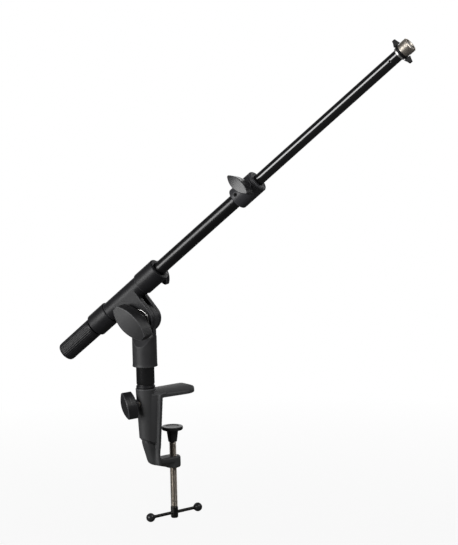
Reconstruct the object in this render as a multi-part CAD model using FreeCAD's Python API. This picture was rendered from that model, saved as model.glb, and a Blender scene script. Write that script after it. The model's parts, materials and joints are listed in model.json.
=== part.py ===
import FreeCAD, Part
import math
import os

from FreeCAD import Placement, Rotation, Vector

# Microphone boom arm that clamps to a table edge, in millimetres.
# The origin is the point where the clamp screw's axis meets the underside of the upper jaw.
# +X points into the table, +Z points up.

# Shared clearances
running_clearance = 0.06
seat_clearance = 0.02
flat_gap = 0.15
overrun = 5.0

# Pose of the boom as it stands
heading_deg = -62.5
elevation_deg = 39.5

# Clamp casting
post_offset = 34.5
barrel_top = 10.0
barrel_top_radius = 11.2
barrel_foot_radius = 8.1
barrel_outer_depth = 45.5
barrel_inner_depth = 53.0
socket_depth = 30.0
throat_depth = 24.0
throat_height = 71.0
spine_thickness = 4.0
spine_top_half_width = 17.2
spine_foot_half_width = 11.0
spine_taper_depth = 60.0
web_step = 1.5
keel_half_width = 6.5
keel_inset = 1.2
keel_edge_radius = 4.0
keel_corner_reach = 7.8
keel_corner_rise = 8.2
keel_corner_radius = 8.0
keel_heel = 5.0
arm_depth = 13.5
arm_flange = 6.5
arm_half_width = 8.5
boss_radius = 8.5
throat_corner_radius = 6.5
jaw_half_width = 19.5
jaw_straight = 7.5
jaw_height = 7.8
jaw_side_height = 3.9
jaw_slope_length = 11.0
casting_edge_radius = 1.5

# Flanged bush under the post
bush_flange = 4.5
bush_flange_radius = 10.4
bush_sleeve = 6.0
bush_sleeve_radius = 8.0

# Clamp screw, pad and cross bar
table_thickness = 38.0
screw_radius = 4.0
screw_end_drop = 142.5
screw_plain_end = 13.0
screw_plain_radius = 3.8
screw_neck_radius = 2.6
screw_ball_radius = 3.6
screw_ball_depth = 9.0
pad_radius = 12.0
pad_disc = 4.0
pad_height = 17.5
pad_hub_top_radius = 6.7
pad_hub_foot_radius = 4.8
bar_radius = 1.8
bar_rise = 6.0
bar_reach = 32.5
bar_end_inset = 2.0
ball_radius = 5.0

# Post and pivot base
spigot_radius = 6.0
spigot_bottom_gap = 1.0
spigot_height = 28.0
tube_gap = 0.3
post_radius = 10.0
post_bore_radius = 8.5
post_in_base = 24.0
sleeve_radius = 13.5
sleeve_drop = 52.5
sleeve_lip_radius = 13.9
sleeve_lip = 3.0
pivot_height = 87.0
tongue_half = 3.7
ear_radius = 15.9
swing_radius = 22.5
scoop_start = 7.0
scoop_radius = 30.0

# Boom holder, measured from the pivot along and square to the boom
boom_offset = 29.6
holder_radius = 11.5
holder_rear = 27.8
holder_front = 23.6
collar_spigot = 8.0
collar_spigot_radius = 10.0
holder_bore_radius = 8.2
rear_collar_length = 24.8
rear_collar_radius = 13.1
front_collar_length = 27.6
front_collar_radius = 12.75
collar_edge_radius = 1.5
friction_disc = 0.6
friction_disc_radius = 14.5
holder_screw_from_end = 12.0

# Pivot bolt and washer
bolt_radius = 4.0
bolt_flats = 13.0
bolt_head = 5.3
bolt_head_proud = 0.4
bolt_in_knob = 13.5
washer_radius = 12.2
washer_thickness = 1.5

# Leaf-shaped knobs
pivot_knob_length = 45.5
pivot_knob_width = 21.0
pivot_knob_depth = 19.0
pivot_knob_tip = 7.0
pivot_knob_crown = 1.5
pivot_knob_hub_radius = 8.5
pivot_knob_hub = 3.5
pivot_knob_turn_deg = -7.0
insert_radius = 6.0
insert_length = 14.0
thumb_knob_length = 30.5
thumb_knob_width = 12.0
thumb_knob_depth = 12.4
thumb_knob_tip = 1.6
thumb_knob_crown = 1.2
thumb_knob_hub_radius = 5.5
thumb_knob_hub = 3.0
clamp_knob_stand_off = 1.6
clamp_knob_drop = 6.5
clamp_knob_turn_deg = -25.0
clutch_knob_turn_deg = 15.0
holder_knob_length = 28.5
holder_knob_width = 12.4
holder_knob_depth = 8.0
holder_knob_hub = 5.0
holder_knob_turn_deg = 10.0
knob_edge_radius = 0.7
knob_tip_radius = 1.0
stud_radius = 3.0
stud_in_knob = 8.0
stud_tip_gap = 0.3
knob_seat_gap = 0.6

# Boom tubes
outer_radius = 7.5
outer_bore_radius = 6.5
grip_radius = 11.0
grip_length = 49.2
grip_end_wall = 5.0
grip_stop_gap = 1.9
grip_edge_radius = 3.0
inner_radius = 6.0
inner_bore_radius = 5.0
inner_hidden = 77.0
inner_shown = 201.7
glide_length = 8.0
glide_spigot = 10.0

# Telescope clutch
clutch_rear = 172.3
clutch_length = 32.2
clutch_radius = 12.25
clutch_tube_depth = 13.0
clutch_edge_radius = 1.8
clutch_bush_radius = 9.0
clutch_bush_inset = 1.0
clutch_roll_deg = 12.0
clutch_boss_radius = 6.5
clutch_boss_reach = 12.7
clutch_screw_from_end = 10.6
grub_radius = 2.0
grub_from_end = 6.7
grub_depth = 1.0

# Threaded end
end_spigot = 16.0
flange_radius = 7.2
flange_thickness = 1.6
thread_radius = 4.76
thread_length = 13.5
nut_gap = 0.3
nut_radius = 8.5
nut_thickness = 2.6
nut_wing_reach = 14.5
nut_wing_thickness = 3.4
nut_wing_root = 8.5
nut_wing_waist = 4.7
nut_wing_waist_radius = 11.4
nut_wing_tip = 3.0
nut_wing_lean = 1.6
adapter_radius = 7.94
adapter_length = 11.2
adapter_thread = 7.2
adapter_neck_radius = 7.5
adapter_slot = 2.0
adapter_slot_depth = 2.2

# Directions and places worked out from the sizes above
ORIGIN = Vector(0, 0, 0)
X = Vector(1, 0, 0)
Y = Vector(0, 1, 0)
Z = Vector(0, 0, 1)
post_axis = Vector(-post_offset, 0, 0)
spine_inner = -throat_depth
spine_outer = spine_inner - spine_thickness
arm_top = -throat_height
arm_foot = arm_top - arm_depth
bush_top = barrel_top + bush_flange
sleeve_bottom = pivot_height - sleeve_drop
tube_bottom = bush_top + tube_gap
tube_top = sleeve_bottom + post_in_base
pad_top = -table_thickness
pad_foot = pad_top - pad_height
ball_height = pad_top - screw_ball_depth
bar_height = bar_rise - screw_end_drop
ear_inner = tongue_half + friction_disc + flat_gap
ear_outer = holder_radius
washer_face = ear_outer + washer_thickness
pivot_knob_foot = washer_face + flat_gap
rear_end = -holder_rear - rear_collar_length
front_end = holder_front + front_collar_length
grip_front = rear_end - grip_stop_gap
grip_rear = grip_front - grip_length
clutch_front = clutch_rear + clutch_length
outer_front = clutch_rear + clutch_tube_depth
inner_front = clutch_front + inner_shown
inner_rear = clutch_front - inner_hidden
flange_front = inner_front + flange_thickness
nut_rear = flange_front + nut_gap
nut_front = nut_rear + nut_thickness
adapter_rear = nut_front + nut_gap
adapter_front = adapter_rear + adapter_length
boom_axis = Vector(0, 0, boom_offset)
clutch_out = Rotation(X, -clutch_roll_deg).multVec(-Y)

# The post turns by the heading, the boom also lifts by the elevation about the pivot.
turn = Rotation(Z, heading_deg)
post_place = Placement(post_axis, turn)
boom_place = Placement(post_axis + Z * pivot_height, turn * Rotation(Y, -elevation_deg))


def rod(radius, start, end, axis=Z, centre=ORIGIN):
    """Round bar from start to end, measured along the axis from the centre."""
    return Part.makeCylinder(radius, end - start, centre + axis * start, axis)


def tube(radius, bore, start, end, axis=Z, centre=ORIGIN):
    """Bar with a round hole right through it."""
    return rod(radius, start, end, axis, centre).cut(rod(bore, start, end, axis, centre))


def cone(foot_radius, top_radius, start, end, axis=Z, centre=ORIGIN):
    return Part.makeCone(foot_radius, top_radius, end - start, centre + axis * start, axis)


def block(low, high):
    size = high - low
    return Part.makeBox(size.x, size.y, size.z, low)


def prism(points, depth):
    """Solid with the outline through the points, thickened by the depth vector."""
    return Part.Face(Part.makePolygon(points + points[:1])).extrude(depth)


def rounded(shape, radius, wanted):
    """Round the edges for which wanted(edge) is true."""
    edges = [edge for edge in shape.Edges if wanted(edge)]
    return shape.makeFillet(radius, edges)


def is_rim(edge, axis, centre, place):
    """True for a circle around the axis that lies at the given place along it."""
    curve = edge.Curve
    if not isinstance(curve, Part.Circle):
        return False
    offset = curve.Center - centre
    along = offset.dot(axis)
    off_axis = (offset - axis * along).Length
    return abs(along - place) < running_clearance and off_axis < running_clearance


def is_upright(edge):
    return edge.BoundBox.XLength + edge.BoundBox.YLength < running_clearance


def rounded_rims(shape, radius, place, axis, centre, least_radius):
    """Round the outer circular edges at one place along an axis."""
    return rounded(
        shape,
        radius,
        lambda edge: is_rim(edge, axis, centre, place) and edge.Curve.Radius > least_radius,
    )


def facing(outward, along, seat):
    """Placement that turns local Z outward and local Y along, at the seat."""
    return Placement(seat, Rotation(along.cross(outward), along, outward, "ZYX"))


def placed(shape, place):
    moved = shape.copy()
    moved.Placement = place.multiply(moved.Placement)
    return moved


def save(name, shape, place=Placement()):
    """Write one piece, placed in the part's frame."""
    placed(shape, place).exportStep("parts/" + name + ".step")


# Clamp group


def jaw():
    """Upper jaw: rounded plan, arched across, sloping down at its end."""
    tip = jaw_straight + jaw_half_width
    root = Vector(-post_offset, -barrel_foot_radius, 0)
    shoulder = Vector(spine_inner, -spine_top_half_width, 0)
    corner = Vector(jaw_straight, -jaw_half_width, 0)
    far = [Vector(point.x, -point.y, point.z) for point in (corner, shoulder, root)]
    edges = [
        Part.LineSegment(root, shoulder).toShape(),
        Part.LineSegment(shoulder, corner).toShape(),
        Part.Arc(corner, Vector(tip, 0, 0), far[0]).toShape(),
        Part.LineSegment(far[0], far[1]).toShape(),
        Part.LineSegment(far[1], far[2]).toShape(),
        Part.LineSegment(far[2], root).toShape(),
    ]
    plan = Part.Face(Part.Wire(edges)).extrude(Z * jaw_height)
    rise = jaw_height - jaw_side_height
    arch = (jaw_half_width ** 2 + rise ** 2) / (2 * rise)
    low = -post_offset - barrel_top_radius
    across = rod(arch, low, tip + overrun, X, Z * (jaw_height - arch))
    bend = (jaw_slope_length ** 2 + rise ** 2) / (2 * rise)
    crest = tip - jaw_slope_length
    slope = rod(bend, -jaw_half_width - overrun, jaw_half_width + overrun, Y,
                Vector(crest, 0, jaw_height - bend))
    flat = block(Vector(low, -jaw_half_width - overrun, 0),
                 Vector(crest, jaw_half_width + overrun, jaw_height))
    return plan.common(across).common(slope.fuse(flat)).removeSplitter()


def web_plan(height, at_post, at_spine):
    """Outline, at one height, of the web that widens from the post to the spine."""
    corners = [
        Vector(-post_offset, -at_post, height),
        Vector(spine_inner, -at_spine, height),
        Vector(spine_inner, at_spine, height),
        Vector(-post_offset, at_post, height),
    ]
    return Part.makePolygon(corners + corners[:1])


def barrel():
    """Drafted socket barrel, run into the spine, with a foot that slopes down towards it."""
    nose = cone(barrel_foot_radius, barrel_top_radius, -barrel_inner_depth, barrel_top, Z, post_axis)
    web = Part.makeLoft([
        web_plan(-barrel_inner_depth, barrel_foot_radius, spine_foot_half_width - web_step),
        web_plan(jaw_side_height, barrel_top_radius, spine_top_half_width - web_step),
    ], True, True)
    side = spine_top_half_width + overrun
    reach = side - barrel_foot_radius
    slope = (barrel_inner_depth - barrel_outer_depth) / (post_offset + barrel_foot_radius - throat_depth)
    below = [
        Vector(-post_offset - side, -side, slope * reach - barrel_outer_depth),
        Vector(spine_inner, -side, -barrel_inner_depth),
        Vector(spine_inner, -side, -barrel_inner_depth - overrun),
        Vector(-post_offset - side, -side, -barrel_inner_depth - overrun),
    ]
    foot = prism(below, Y * (2 * side))
    return nose.fuse(web).removeSplitter().cut(foot)


def keel():
    """Tapered web that carries the barrel down to the lower arm, rounded along its outside."""
    top = keel_inset - barrel_outer_depth
    outer = -post_offset - barrel_foot_radius + keel_inset
    corner = Vector(spine_inner - keel_corner_reach, -keel_half_width, arm_foot + keel_corner_rise)
    outline = [
        Vector(outer, -keel_half_width, top),
        corner,
        Vector(-keel_heel, -keel_half_width, arm_foot),
        Vector(-keel_heel, -keel_half_width, arm_top),
        Vector(spine_outer, -keel_half_width, arm_top),
        Vector(spine_outer, -keel_half_width, top),
    ]
    shape = prism(outline, Y * (2 * keel_half_width))
    shape = rounded(shape, keel_corner_radius, lambda edge: edge.BoundBox.XMax < corner.x + running_clearance
                    and edge.BoundBox.ZMax < corner.z + running_clearance)
    return rounded(
        shape,
        keel_edge_radius,
        lambda edge: edge.BoundBox.YLength < running_clearance
        and edge.BoundBox.ZLength > running_clearance
        and edge.BoundBox.XLength > running_clearance,
    )


def clamp_frame():
    """Spine, lower arm and boss of the C, with the round inner corner."""
    side = [
        (spine_foot_half_width, arm_top - arm_flange),
        (spine_foot_half_width, -spine_taper_depth),
        (spine_top_half_width, 0),
        (spine_top_half_width, jaw_side_height),
    ]
    outline = [Vector(spine_outer, half, height) for half, height in side]
    outline += [Vector(spine_outer, -half, height) for half, height in reversed(side)]
    spine = prism(outline, X * spine_thickness)
    arm = block(Vector(spine_outer, -arm_half_width, arm_top - arm_flange),
                Vector(0, arm_half_width, arm_top))
    corner = Vector(spine_inner + throat_corner_radius, 0, arm_top + throat_corner_radius)
    gusset = block(Vector(spine_inner, -arm_half_width, arm_top),
                   Vector(corner.x, arm_half_width, corner.z))
    gusset = gusset.cut(rod(throat_corner_radius, -arm_half_width - overrun,
                            arm_half_width + overrun, Y, corner))
    spine = rounded(
        spine,
        casting_edge_radius,
        lambda edge: edge.BoundBox.ZLength > running_clearance
        and edge.BoundBox.XMax < (spine_inner + spine_outer) / 2,
    )
    return spine.fuse([arm, gusset, rod(boss_radius, arm_foot, arm_top)])


def clamp_body():
    shape = clamp_frame().fuse([barrel(), keel(), jaw()]).removeSplitter()
    socket = rod(spigot_radius + running_clearance, -socket_depth, barrel_top + overrun, Z, post_axis)
    bush_seat = rod(bush_sleeve_radius + seat_clearance, barrel_top - bush_sleeve, barrel_top + overrun,
                    Z, post_axis)
    screw_hole = rod(screw_radius + running_clearance, arm_foot - overrun, arm_top + overrun)
    knob_hole = rod(stud_radius + running_clearance, 0, barrel_top_radius + overrun, -X,
                    post_axis - Z * clamp_knob_drop)
    for hole in (socket, bush_seat, screw_hole, knob_hole):
        shape = shape.cut(hole)
    return shape


def post_bush():
    flange = rod(bush_flange_radius, barrel_top, bush_top, Z, post_axis)
    sleeve = rod(bush_sleeve_radius, barrel_top - bush_sleeve, barrel_top, Z, post_axis)
    bore = rod(spigot_radius + running_clearance, barrel_top - bush_sleeve - overrun, bush_top + overrun,
               Z, post_axis)
    return flange.fuse(sleeve).removeSplitter().cut(bore)


def pressure_pad():
    disc = rod(pad_radius, pad_top - pad_disc, pad_top)
    hub = cone(pad_hub_foot_radius, pad_hub_top_radius, pad_foot, pad_top - pad_disc)
    socket = Part.makeSphere(screw_ball_radius + running_clearance, Z * ball_height)
    neck = rod(screw_neck_radius + running_clearance, pad_foot - overrun, ball_height)
    return disc.fuse(hub).removeSplitter().cut(socket).cut(neck)


def clamp_screw():
    shoulder = pad_foot - knob_seat_gap
    thread_end = screw_plain_end - screw_end_drop
    shape = rod(screw_radius, thread_end, shoulder)
    shape = shape.fuse([
        rod(screw_neck_radius, shoulder, ball_height),
        Part.makeSphere(screw_ball_radius, Z * ball_height),
        rod(screw_plain_radius, -screw_end_drop, thread_end),
    ])
    cross_hole = rod(bar_radius + running_clearance, -screw_radius - overrun, screw_radius + overrun, X,
                     Z * bar_height)
    return shape.cut(cross_hole)


def tommy_bar():
    end = bar_reach + ball_radius - bar_end_inset
    return rod(bar_radius, -end, end, X, Z * bar_height)


def tommy_ball(side):
    ball = Part.makeSphere(ball_radius, Vector(side * bar_reach, 0, bar_height))
    end = bar_reach + ball_radius - bar_end_inset
    return ball.cut(rod(bar_radius + seat_clearance, -end - seat_clearance, end + seat_clearance, X,
                        Z * bar_height))


# Post group, modelled around its own vertical axis


def post_spigot():
    """Steel spigot that turns in the socket and carries the tube."""
    bottom = spigot_bottom_gap - socket_depth
    shank = rod(spigot_radius, bottom, tube_bottom)
    plug = rod(post_bore_radius - seat_clearance, tube_bottom, tube_bottom + spigot_height)
    return shank.fuse(plug).removeSplitter()


def post_tube():
    return tube(post_radius, post_bore_radius, tube_bottom, tube_top)


def pivot_base():
    """Sleeve on the post with a middle tongue, cleared on both sides for the ears to swing."""
    pivot = Z * pivot_height
    sleeve = rod(sleeve_radius, sleeve_bottom, pivot_height)
    lip = cone(sleeve_lip_radius, sleeve_radius, sleeve_bottom, sleeve_bottom + sleeve_lip)
    eye = rod(ear_radius, -tongue_half, tongue_half, Y, pivot)
    shape = sleeve.fuse([lip, eye])
    outside = sleeve_lip_radius + overrun
    widening = (scoop_radius - swing_radius) / (sleeve_radius - scoop_start)
    scoop_outside = swing_radius + widening * (outside - scoop_start)
    for side in (-1, 1):
        shape = shape.cut(rod(swing_radius, tongue_half, outside, Y * side, pivot))
        shape = shape.cut(cone(swing_radius, scoop_outside, scoop_start, outside, Y * side, pivot))
    bore = rod(post_radius + seat_clearance, sleeve_bottom - overrun, tube_top + seat_clearance)
    bolt_hole = rod(bolt_radius + running_clearance, -tongue_half - overrun, tongue_half + overrun, Y, pivot)
    return shape.removeSplitter().cut(bore).cut(bolt_hole)


def friction_washer(side):
    return tube(friction_disc_radius, bolt_radius + running_clearance, tongue_half,
                tongue_half + friction_disc, Y * side, Z * pivot_height)


# Boom holder, modelled around the pivot with the boom along X


def hexagon(flats, start, end, axis):
    """Six-sided bar along Y on one side."""
    corner = flats / math.sqrt(3)
    points = [
        Vector(corner * math.cos(math.radians(60 * step)), 0, corner * math.sin(math.radians(60 * step)))
        + axis * start
        for step in range(6)
    ]
    return prism(points, axis * (end - start))


def boom_holder():
    """T-piece: body on the boom, two ears around the pivot, a spigot for each collar."""
    body = rod(holder_radius, -holder_rear, holder_front, X, boom_axis)
    spigots = rod(collar_spigot_radius, -holder_rear - collar_spigot, holder_front + collar_spigot,
                  X, boom_axis)
    shape = body.fuse(spigots)
    for side in (-1, 1):
        low = min(side * ear_inner, side * ear_outer)
        web = block(Vector(-ear_radius, low, 0),
                    Vector(ear_radius, low + ear_outer - ear_inner, boom_offset))
        shape = shape.fuse([rod(ear_radius, ear_inner, ear_outer, Y * side), web])
    shape = shape.removeSplitter()
    head = hexagon(bolt_flats + 2 * seat_clearance, ear_outer + bolt_head_proud - bolt_head,
                   ear_outer + overrun, Y)
    bolt_hole = rod(bolt_radius + seat_clearance, -ear_outer - overrun, ear_outer + overrun, Y)
    bore = rod(holder_bore_radius, -holder_rear - collar_spigot - overrun,
               holder_front + collar_spigot + overrun, X, boom_axis)
    return shape.cut(head).cut(bolt_hole).cut(bore)


def collar(radius, foot, end, side):
    """Collar from its foot on the holder to its free end, bored for the spigot and the tube."""
    shape = rod(radius, foot, end, X * side, boom_axis)
    shape = rounded_rims(shape, collar_edge_radius, end, X * side, boom_axis, outer_radius)
    seat = rod(collar_spigot_radius + seat_clearance, foot - overrun, foot + collar_spigot + seat_clearance,
               X * side, boom_axis)
    bore = rod(outer_radius + running_clearance, foot, end + overrun, X * side, boom_axis)
    return shape.cut(seat).cut(bore)


def front_collar():
    shape = collar(front_collar_radius, holder_front, front_end, 1)
    hole = rod(stud_radius + running_clearance, 0, front_collar_radius + overrun, Y, holder_screw())
    return shape.cut(hole)


def holder_screw():
    """Point on the boom axis where the holder's thumbscrew presses."""
    return boom_axis + X * (front_end - holder_screw_from_end)


def pivot_bolt():
    head_face = ear_outer + bolt_head_proud
    shank = rod(bolt_radius, -pivot_knob_foot - bolt_in_knob, head_face - bolt_head, Y)
    return shank.fuse(hexagon(bolt_flats, head_face - bolt_head, head_face, Y)).removeSplitter()


def pivot_washer():
    return tube(washer_radius, bolt_radius + seat_clearance, ear_outer, washer_face, -Y)


# Knobs, modelled with the screw axis along Z and the foot of the hub at the origin


def leaf_knob(length, width, depth, tip, crown, hub_radius, hub, hole_radius, hole_depth):
    """Knob with a crowned leaf-shaped handle on a round hub and a blind hole for its metal core."""
    top = Vector(tip / 2, length / 2, hub)
    side = Vector(width / 2, 0, hub)
    corners = [Vector(sx * top.x, sy * top.y, hub) for sx, sy in ((1, 1), (1, -1), (-1, -1), (-1, 1))]
    edges = [
        Part.Arc(corners[0], side, corners[1]).toShape(),
        Part.LineSegment(corners[1], corners[2]).toShape(),
        Part.Arc(corners[2], Vector(-side.x, 0, hub), corners[3]).toShape(),
        Part.LineSegment(corners[3], corners[0]).toShape(),
    ]
    dome = (top.y ** 2 + crown ** 2) / (2 * crown)
    crest = hub + depth + crown
    leaf = Part.Face(Part.Wire(edges)).extrude(Z * (crest - hub))
    leaf = rounded(leaf, knob_tip_radius, is_upright)
    leaf = leaf.common(rod(dome, -width, width, X, Z * (crest - dome)))
    leaf = rounded(leaf, knob_edge_radius, lambda edge: not is_upright(edge))
    shape = leaf.fuse(rod(hub_radius, 0, hub + knob_edge_radius)).removeSplitter()
    return shape.cut(rod(hole_radius, 0, hole_depth))


def thumb_knob():
    return leaf_knob(thumb_knob_length, thumb_knob_width, thumb_knob_depth, thumb_knob_tip,
                     thumb_knob_crown, thumb_knob_hub_radius, thumb_knob_hub, stud_radius + seat_clearance,
                     stud_in_knob + seat_clearance)


def holder_knob():
    return leaf_knob(holder_knob_length, holder_knob_width, holder_knob_depth, thumb_knob_tip,
                     thumb_knob_crown, thumb_knob_hub_radius, holder_knob_hub, stud_radius + seat_clearance,
                     stud_in_knob + seat_clearance)


def pivot_knob():
    return leaf_knob(pivot_knob_length, pivot_knob_width, pivot_knob_depth, pivot_knob_tip,
                     pivot_knob_crown, pivot_knob_hub_radius, pivot_knob_hub, insert_radius + seat_clearance,
                     insert_length + seat_clearance)


def pivot_knob_insert():
    return tube(insert_radius, bolt_radius + running_clearance, 0, insert_length)


def knob_stud(seat_radius, pressed_radius):
    """Stud from inside the knob down to just above the surface that it presses on."""
    return rod(stud_radius, pressed_radius + stud_tip_gap - seat_radius, stud_in_knob)


# Boom, modelled along X at its offset from the pivot


def outer_tube():
    return tube(outer_radius, outer_bore_radius, grip_rear + grip_end_wall, outer_front, X, boom_axis)


def rear_grip():
    shape = rod(grip_radius, grip_rear, grip_front, X, boom_axis)
    shape = rounded_rims(shape, grip_edge_radius, grip_rear, X, boom_axis, outer_radius)
    bore = rod(outer_radius + seat_clearance, grip_rear + grip_end_wall - seat_clearance,
               grip_front + overrun, X, boom_axis)
    return shape.cut(bore)


def clutch_screw():
    """Point on the boom axis where the clutch's thumbscrew presses."""
    return boom_axis + X * (clutch_front - clutch_screw_from_end)


def clutch_body():
    shape = rod(clutch_radius, clutch_rear, clutch_front, X, boom_axis)
    for end in (clutch_rear, clutch_front):
        shape = rounded_rims(shape, clutch_edge_radius, end, X, boom_axis, outer_radius)
    shape = shape.fuse(rod(clutch_boss_radius, 0, clutch_boss_reach, clutch_out, clutch_screw()))
    tube_seat = rod(outer_radius + seat_clearance, clutch_rear - overrun, outer_front + seat_clearance,
                    X, boom_axis)
    bush_seat = rod(clutch_bush_radius + seat_clearance, outer_front + seat_clearance,
                    clutch_front + overrun, X, boom_axis)
    knob_hole = rod(stud_radius + running_clearance, 0, clutch_boss_reach + overrun, clutch_out,
                    clutch_screw())
    grub_hole = rod(grub_radius + seat_clearance, 0, clutch_radius + overrun, clutch_out,
                    boom_axis + X * (clutch_rear + grub_from_end))
    for hole in (tube_seat, bush_seat, knob_hole, grub_hole):
        shape = shape.cut(hole)
    return shape


def clutch_bush():
    shape = tube(clutch_bush_radius, inner_radius + running_clearance, outer_front + seat_clearance,
                 clutch_front - clutch_bush_inset, X, boom_axis)
    hole = rod(stud_radius + stud_tip_gap, 0, clutch_bush_radius + overrun, clutch_out, clutch_screw())
    return shape.cut(hole)


def clutch_grub_screw():
    return rod(grub_radius, outer_radius + seat_clearance, clutch_radius - grub_depth, clutch_out,
               boom_axis + X * (clutch_rear + grub_from_end))


def inner_tube():
    return tube(inner_radius, inner_bore_radius, inner_rear, inner_front, X, boom_axis)


def inner_glide():
    """Plug in the hidden end of the inner tube, running in the outer tube."""
    head = rod(outer_bore_radius - running_clearance, inner_rear - glide_length, inner_rear, X, boom_axis)
    plug = rod(inner_bore_radius - seat_clearance, inner_rear, inner_rear + glide_spigot, X, boom_axis)
    return head.fuse(plug).removeSplitter()


def thread_stud():
    spigot = rod(inner_bore_radius - seat_clearance, inner_front - end_spigot, inner_front, X, boom_axis)
    flange = rod(flange_radius, inner_front, flange_front, X, boom_axis)
    thread = rod(thread_radius, flange_front, flange_front + thread_length, X, boom_axis)
    return spigot.fuse([flange, thread]).removeSplitter()


def lock_nut():
    """Round nut with two wings that flare at the root and lean forward."""
    shape = rod(nut_radius, nut_rear, nut_front, X, boom_axis)
    middle = boom_axis + X * (nut_rear + nut_thickness / 2) - Y * (nut_wing_thickness / 2)
    levels = [
        (nut_wing_lean / 2, nut_wing_root, adapter_radius + nut_gap),
        (nut_wing_lean, nut_wing_waist, nut_wing_waist_radius),
        (nut_wing_lean, nut_wing_tip, nut_wing_reach),
    ]
    for side in (-1, 1):
        outline = [middle + Vector(shift - width / 2, 0, side * height) for shift, width, height in levels]
        outline += [middle + Vector(shift + width / 2, 0, side * height)
                    for shift, width, height in reversed(levels)]
        shape = shape.fuse(prism(outline, Y * nut_wing_thickness))
    return shape.removeSplitter().cut(
        rod(thread_radius + running_clearance, nut_rear - overrun, nut_front + overrun, X, boom_axis))


def thread_adapter():
    """Ring with an outer thread and a slimmer neck behind it, slotted across its end for a coin."""
    neck = rod(adapter_neck_radius, adapter_rear, adapter_front, X, boom_axis)
    shape = neck.fuse(rod(adapter_radius, adapter_front - adapter_thread, adapter_front, X, boom_axis))
    shape = shape.removeSplitter()
    slot = block(
        Vector(adapter_front - adapter_slot_depth, -adapter_slot / 2, boom_offset - adapter_radius - overrun),
        Vector(adapter_front + overrun, adapter_slot / 2, boom_offset + adapter_radius + overrun))
    bore = rod(thread_radius + running_clearance, adapter_rear - overrun, adapter_front + overrun,
               X, boom_axis)
    return shape.cut(bore).cut(slot)


os.makedirs("parts", exist_ok=True)

save("clamp_body", clamp_body())
save("post_bush", post_bush())
save("pressure_pad", pressure_pad())
save("clamp_screw", clamp_screw())
save("tommy_bar", tommy_bar())
save("tommy_ball_left", tommy_ball(-1))
save("tommy_ball_right", tommy_ball(1))

clamp_knob_seat = barrel_top_radius + clamp_knob_stand_off
clamp_knob_place = facing(
    -X,
    Rotation(X, clamp_knob_turn_deg).multVec(Z),
    post_axis - X * clamp_knob_seat - Z * clamp_knob_drop,
)
save("clamp_knob", thumb_knob(), clamp_knob_place)
save("clamp_knob_stud", knob_stud(clamp_knob_seat, spigot_radius), clamp_knob_place)

save("post_spigot", post_spigot(), post_place)
save("post_tube", post_tube(), post_place)
save("pivot_base", pivot_base(), post_place)
save("friction_washer_near", friction_washer(-1), post_place)
save("friction_washer_far", friction_washer(1), post_place)

save("boom_holder", boom_holder(), boom_place)
save("rear_collar", collar(rear_collar_radius, holder_rear, -rear_end, -1), boom_place)
save("front_collar", front_collar(), boom_place)
save("pivot_bolt", pivot_bolt(), boom_place)
save("pivot_washer", pivot_washer(), boom_place)

pivot_knob_along = Rotation(Y, pivot_knob_turn_deg).multVec(Z)
pivot_knob_place = boom_place.multiply(facing(-Y, pivot_knob_along, -Y * pivot_knob_foot))
save("pivot_knob", pivot_knob(), pivot_knob_place)
save("pivot_knob_insert", pivot_knob_insert(), pivot_knob_place)

holder_knob_seat = front_collar_radius + knob_seat_gap
holder_knob_along = Rotation(Y, holder_knob_turn_deg).multVec(Z)
holder_knob_place = boom_place.multiply(
    facing(Y, holder_knob_along, holder_screw() + Y * holder_knob_seat))
save("holder_knob", holder_knob(), holder_knob_place)
save("holder_knob_stud", knob_stud(holder_knob_seat, outer_radius), holder_knob_place)

save("outer_tube", outer_tube(), boom_place)
save("rear_grip", rear_grip(), boom_place)
save("clutch_body", clutch_body(), boom_place)
save("clutch_bush", clutch_bush(), boom_place)
save("clutch_grub_screw", clutch_grub_screw(), boom_place)

clutch_knob_seat = clutch_boss_reach + knob_seat_gap
clutch_knob_along = Rotation(clutch_out, clutch_knob_turn_deg).multVec(X.cross(clutch_out))
clutch_knob_place = boom_place.multiply(
    facing(clutch_out, clutch_knob_along, clutch_screw() + clutch_out * clutch_knob_seat))
save("clutch_knob", thumb_knob(), clutch_knob_place)
save("clutch_knob_stud", knob_stud(clutch_knob_seat, inner_radius), clutch_knob_place)

save("inner_tube", inner_tube(), boom_place)
save("inner_glide", inner_glide(), boom_place)
save("thread_stud", thread_stud(), boom_place)
save("lock_nut", lock_nut(), boom_place)
save("thread_adapter", thread_adapter(), boom_place)
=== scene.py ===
# Microphone boom arm with an edge clamp: the finished pieces, their materials, the light and the camera.
# Everything is in metres, in the frame's own coordinates.
import json
import math
from collections import namedtuple

import bmesh
import bpy
import numpy as np
from mathutils import Matrix, Vector

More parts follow.
